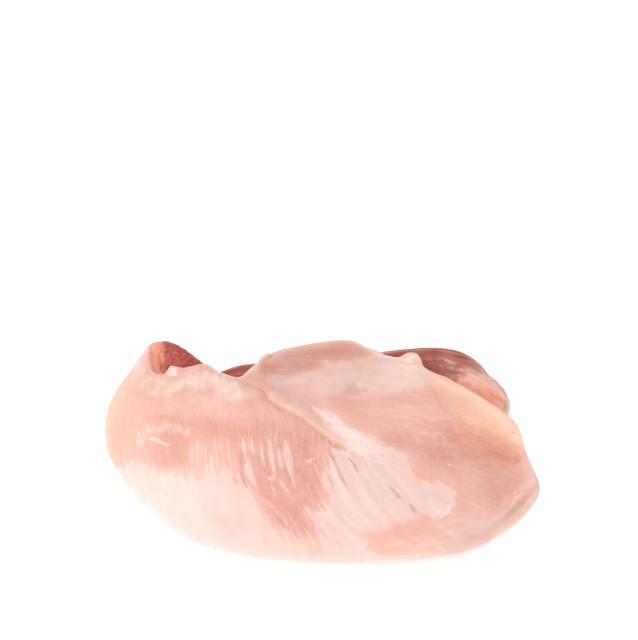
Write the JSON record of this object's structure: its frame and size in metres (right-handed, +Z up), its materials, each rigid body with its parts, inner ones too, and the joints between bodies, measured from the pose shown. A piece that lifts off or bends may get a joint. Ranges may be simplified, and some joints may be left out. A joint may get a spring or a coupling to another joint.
{
  "type": "raw chicken breast fillet",
  "caption": "Boneless, skinless raw chicken breast lying smooth side up, with its inner fillet tucked under the back edge.",
  "frame": {"origin": "on the surface the meat lies on, under the middle of its outline", "axes": "+X from the blunt shoulder end to the thin tip, +Y to the back edge with the inner fillet, +Z up from the surface it lies on"},
  "size_m": [0.17, 0.1008, 0.0385],
  "materials": {
    "breast_meat": "moist raw meat, pale pink, glossy",
    "inner_meat": "moist raw meat, deeper pink, glossy"
  },
  "bodies": {
    "root": {"breast_fillet": "breast_meat", "inner_fillet": "inner_meat"}
  },
  "joints": []
}
